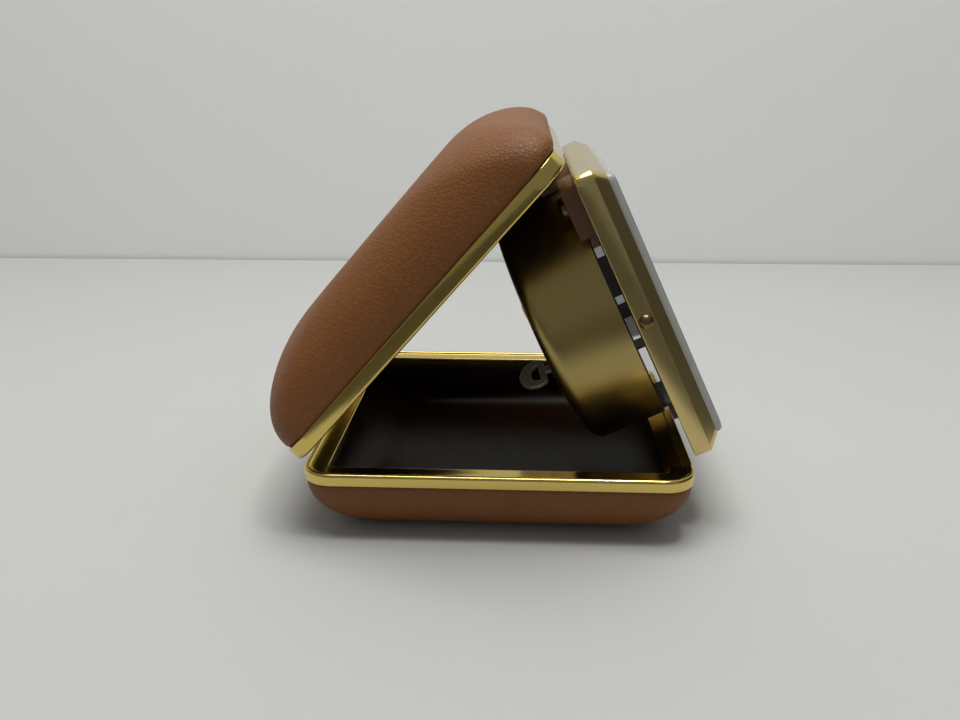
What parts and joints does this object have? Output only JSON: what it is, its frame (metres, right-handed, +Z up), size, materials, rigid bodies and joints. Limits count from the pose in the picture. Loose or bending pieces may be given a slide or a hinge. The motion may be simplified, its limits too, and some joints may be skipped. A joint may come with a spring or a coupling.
{
  "type": "travel alarm clock",
  "caption": "Folding travel alarm clock: square dial hung from the leather-covered lid of a hinged case, standing as a tripod, with folding winding keys on its round movement case.",
  "frame": {"origin": "middle of the base shell's flat underside, where it stands on a table", "axes": "+Z up, dial faces -Y, case hinge axis along X at +Y"},
  "size_m": [0.075, 0.0879, 0.0766],
  "materials": {
    "leather": "pebble grain",
    "pan_steel": "dull",
    "lining": "gloss",
    "rim_brass": "polished",
    "pin_steel": "bright",
    "frame_brass": "polished",
    "crystal": "clear",
    "dial": "satin",
    "gilt": "polished",
    "chrome": "mirror",
    "drum_lacquer": "satin lacquer",
    "bracket_paint": "gloss",
    "plate_brass": "satin",
    "blued_steel": "blued",
    "polished_steel": "polished",
    "nickel": "nickel plate",
    "dark_steel": "dark",
    "black_hand": "satin",
    "red_hand": "satin"
  },
  "bodies": {
    "base": {"base_leather": "leather", "base_pan": "pan_steel", "base_lining": "lining", "base_rim": "rim_brass", "base_hinge_leaf": "rim_brass", "case_hinge_pin": "pin_steel"},
    "lid": {"lid_leather": "leather", "lid_pan": "pan_steel", "lid_lining": "lining", "lid_rim": "rim_brass", "lid_hinge_leaf": "rim_brass", "clock_hinge_leaf": "rim_brass", "clock_hinge_pin": "pin_steel"},
    "clock": {"bezel_frame": "frame_brass", "crystal": "crystal", "dial": "dial", "hour_markers": "gilt", "frame_back_plate": "frame_brass", "chrome_ring": "chrome", "drum_case": "drum_lacquer", "hinge_bracket": "bracket_paint", "bracket_screws": "nickel", "rest_pad": "bracket_paint", "latch_studs": "nickel", "front_plate": "plate_brass", "back_plate": "plate_brass", "plate_pillars": "plate_brass", "pillar_screws": "blued_steel", "ratchet_clicks": "polished_steel"},
    "minute_hand": {"centre_arbor": "plate_brass", "minute_hand": "black_hand"},
    "hour_hand": {"hour_wheel": "plate_brass", "hour_hand": "black_hand"},
    "minute_wheel": {"minute_wheel": "plate_brass"},
    "time_setter": {"time_setting_arbor": "polished_steel", "time_knob": "frame_brass"},
    "going_barrel": {"going_barrel": "plate_brass", "time_mainspring": "blued_steel"},
    "third_wheel": {"third_wheel": "plate_brass"},
    "fourth_wheel": {"fourth_wheel": "plate_brass"},
    "escape_wheel": {"escape_wheel": "plate_brass"},
    "pallet_lever": {"pallet_lever": "polished_steel"},
    "balance": {"balance_wheel": "plate_brass", "hairspring": "blued_steel"},
    "alarm_hand": {"alarm_wheel": "plate_brass", "alarm_hand": "red_hand"},
    "alarm_setter": {"alarm_setting_arbor": "polished_steel", "alarm_knob": "frame_brass"},
    "alarm_barrel": {"alarm_barrel": "plate_brass", "alarm_mainspring": "blued_steel"},
    "alarm_hammer": {"alarm_hammer": "polished_steel"},
    "time_key": {"time_key_stem": "dark_steel", "time_key_pin": "pin_steel"},
    "alarm_key": {"alarm_key_stem": "dark_steel", "alarm_key_pin": "pin_steel"},
    "time_key_wing": {"time_key_wing": "nickel"},
    "alarm_key_wing": {"alarm_key_wing": "nickel"},
    "alarm_lever": {"alarm_lever": "polished_steel"},
    "regulator": {"regulator_lever": "polished_steel"}
  },
  "joints": [
    {"name": "lid_open", "type": "hinge", "parent": "base", "child": "lid", "pos_m": [0, 0.0388, 0.0141], "axis": [-1, 0, 0], "range_deg": [0, 55]},
    {"name": "clock_fold", "type": "hinge", "parent": "lid", "child": "clock", "pos_m": [0, -0.00793, 0.06742], "axis": [1, 0, 0], "range_deg": [0, 66.5]},
    {"name": "hands_turn", "type": "hinge", "parent": "clock", "child": "minute_hand", "pos_m": [0, -0.02549, 0.04156], "axis": [0, 0.9024, -0.4309], "continuous": true},
    {"name": "hour_hand_turn", "type": "hinge", "parent": "clock", "child": "hour_hand", "pos_m": [0, -0.02549, 0.04156], "axis": [0, 0.9024, -0.4309], "continuous": true},
    {"name": "minute_wheel_turn", "type": "hinge", "parent": "clock", "child": "minute_wheel", "pos_m": [-0.00775, -0.02385, 0.04499], "axis": [0, 0.9024, -0.4309], "continuous": true},
    {"name": "time_knob_turn", "type": "hinge", "parent": "clock", "child": "time_setter", "pos_m": [-0.0155, -0.02221, 0.04842], "axis": [0, 0.9024, -0.4309], "continuous": true},
    {"name": "going_barrel_turn", "type": "hinge", "parent": "clock", "child": "going_barrel", "pos_m": [-0.011, -0.0285, 0.03524], "axis": [0, 0.9024, -0.4309], "continuous": true},
    {"name": "third_wheel_turn", "type": "hinge", "parent": "clock", "child": "third_wheel", "pos_m": [0.00402, -0.02193, 0.04901], "axis": [0, 0.9024, -0.4309], "continuous": true},
    {"name": "fourth_wheel_turn", "type": "hinge", "parent": "clock", "child": "fourth_wheel", "pos_m": [-0.00337, -0.02108, 0.05079], "axis": [0, 0.9024, -0.4309], "continuous": true},
    {"name": "escape_wheel_turn", "type": "hinge", "parent": "clock", "child": "escape_wheel", "pos_m": [-0.00768, -0.01886, 0.05544], "axis": [0, 0.9024, -0.4309], "continuous": true},
    {"name": "pallet_rock", "type": "hinge", "parent": "clock", "child": "pallet_lever", "pos_m": [-0.00327, -0.01817, 0.05689], "axis": [0, 0.9024, -0.4309], "range_deg": [-5, 5]},
    {"name": "balance_swing", "type": "hinge", "parent": "clock", "child": "balance", "pos_m": [0.0035, -0.01711, 0.05911], "axis": [0, 0.9024, -0.4309], "range_deg": [-135, 135], "stiffness_Nm_per_rad": 0.000002},
    {"name": "alarm_hand_turn", "type": "hinge", "parent": "clock", "child": "alarm_hand", "pos_m": [0, -0.02549, 0.04156], "axis": [0, 0.9024, -0.4309], "continuous": true},
    {"name": "alarm_knob_turn", "type": "hinge", "parent": "clock", "child": "alarm_setter", "pos_m": [0.0155, -0.02221, 0.04842], "axis": [0, 0.9024, -0.4309], "continuous": true},
    {"name": "alarm_barrel_turn", "type": "hinge", "parent": "clock", "child": "alarm_barrel", "pos_m": [0.011, -0.0285, 0.03524], "axis": [0, 0.9024, -0.4309], "continuous": true},
    {"name": "hammer_swing", "type": "hinge", "parent": "clock", "child": "alarm_hammer", "pos_m": [-0.003, -0.03368, 0.02442], "axis": [0, 0.9024, -0.4309], "range_deg": [-5, 5]},
    {"name": "time_key_turn", "type": "hinge", "parent": "clock", "child": "time_key", "pos_m": [-0.011, -0.0285, 0.03524], "axis": [0, 0.9024, -0.4309], "continuous": true},
    {"name": "alarm_key_turn", "type": "hinge", "parent": "clock", "child": "alarm_key", "pos_m": [0.011, -0.0285, 0.03524], "axis": [0, 0.9024, -0.4309], "continuous": true},
    {"name": "time_wing_fold", "type": "hinge", "parent": "time_key", "child": "time_key_wing", "pos_m": [-0.011, -0.01131, 0.02704], "axis": [0.8829, 0.2023, 0.4236], "range_deg": [0, 90]},
    {"name": "alarm_wing_fold", "type": "hinge", "parent": "alarm_key", "child": "alarm_key_wing", "pos_m": [0.011, -0.01131, 0.02704], "axis": [0, -0.4309, -0.9024], "range_deg": [0, 30]},
    {"name": "alarm_lever_turn", "type": "hinge", "parent": "clock", "child": "alarm_lever", "pos_m": [-0.002, -0.0173, 0.05871], "axis": [0, 0.9024, -0.4309], "range_deg": [-20, 20]},
    {"name": "regulator_turn", "type": "hinge", "parent": "clock", "child": "regulator", "pos_m": [0.012, -0.01816, 0.0569], "axis": [0, 0.9024, -0.4309], "range_deg": [-15, 15]}
  ],
  "couplings": [
    {"joint": "hour_hand_turn", "follows": "hands_turn", "ratio": 0.083333},
    {"joint": "minute_wheel_turn", "follows": "hands_turn", "ratio": -0.33333},
    {"joint": "time_knob_turn", "follows": "hands_turn", "ratio": 1},
    {"joint": "going_barrel_turn", "follows": "hands_turn", "ratio": -0.16667},
    {"joint": "third_wheel_turn", "follows": "hands_turn", "ratio": -8},
    {"joint": "fourth_wheel_turn", "follows": "hands_turn", "ratio": 60},
    {"joint": "escape_wheel_turn", "follows": "hands_turn", "ratio": -420},
    {"joint": "alarm_knob_turn", "follows": "alarm_hand_turn", "ratio": -4},
    {"joint": "time_wing_fold", "follows": "clock_fold", "ratio": 1.351},
    {"joint": "alarm_wing_fold", "follows": "clock_fold", "ratio": 0.45}
  ]
}
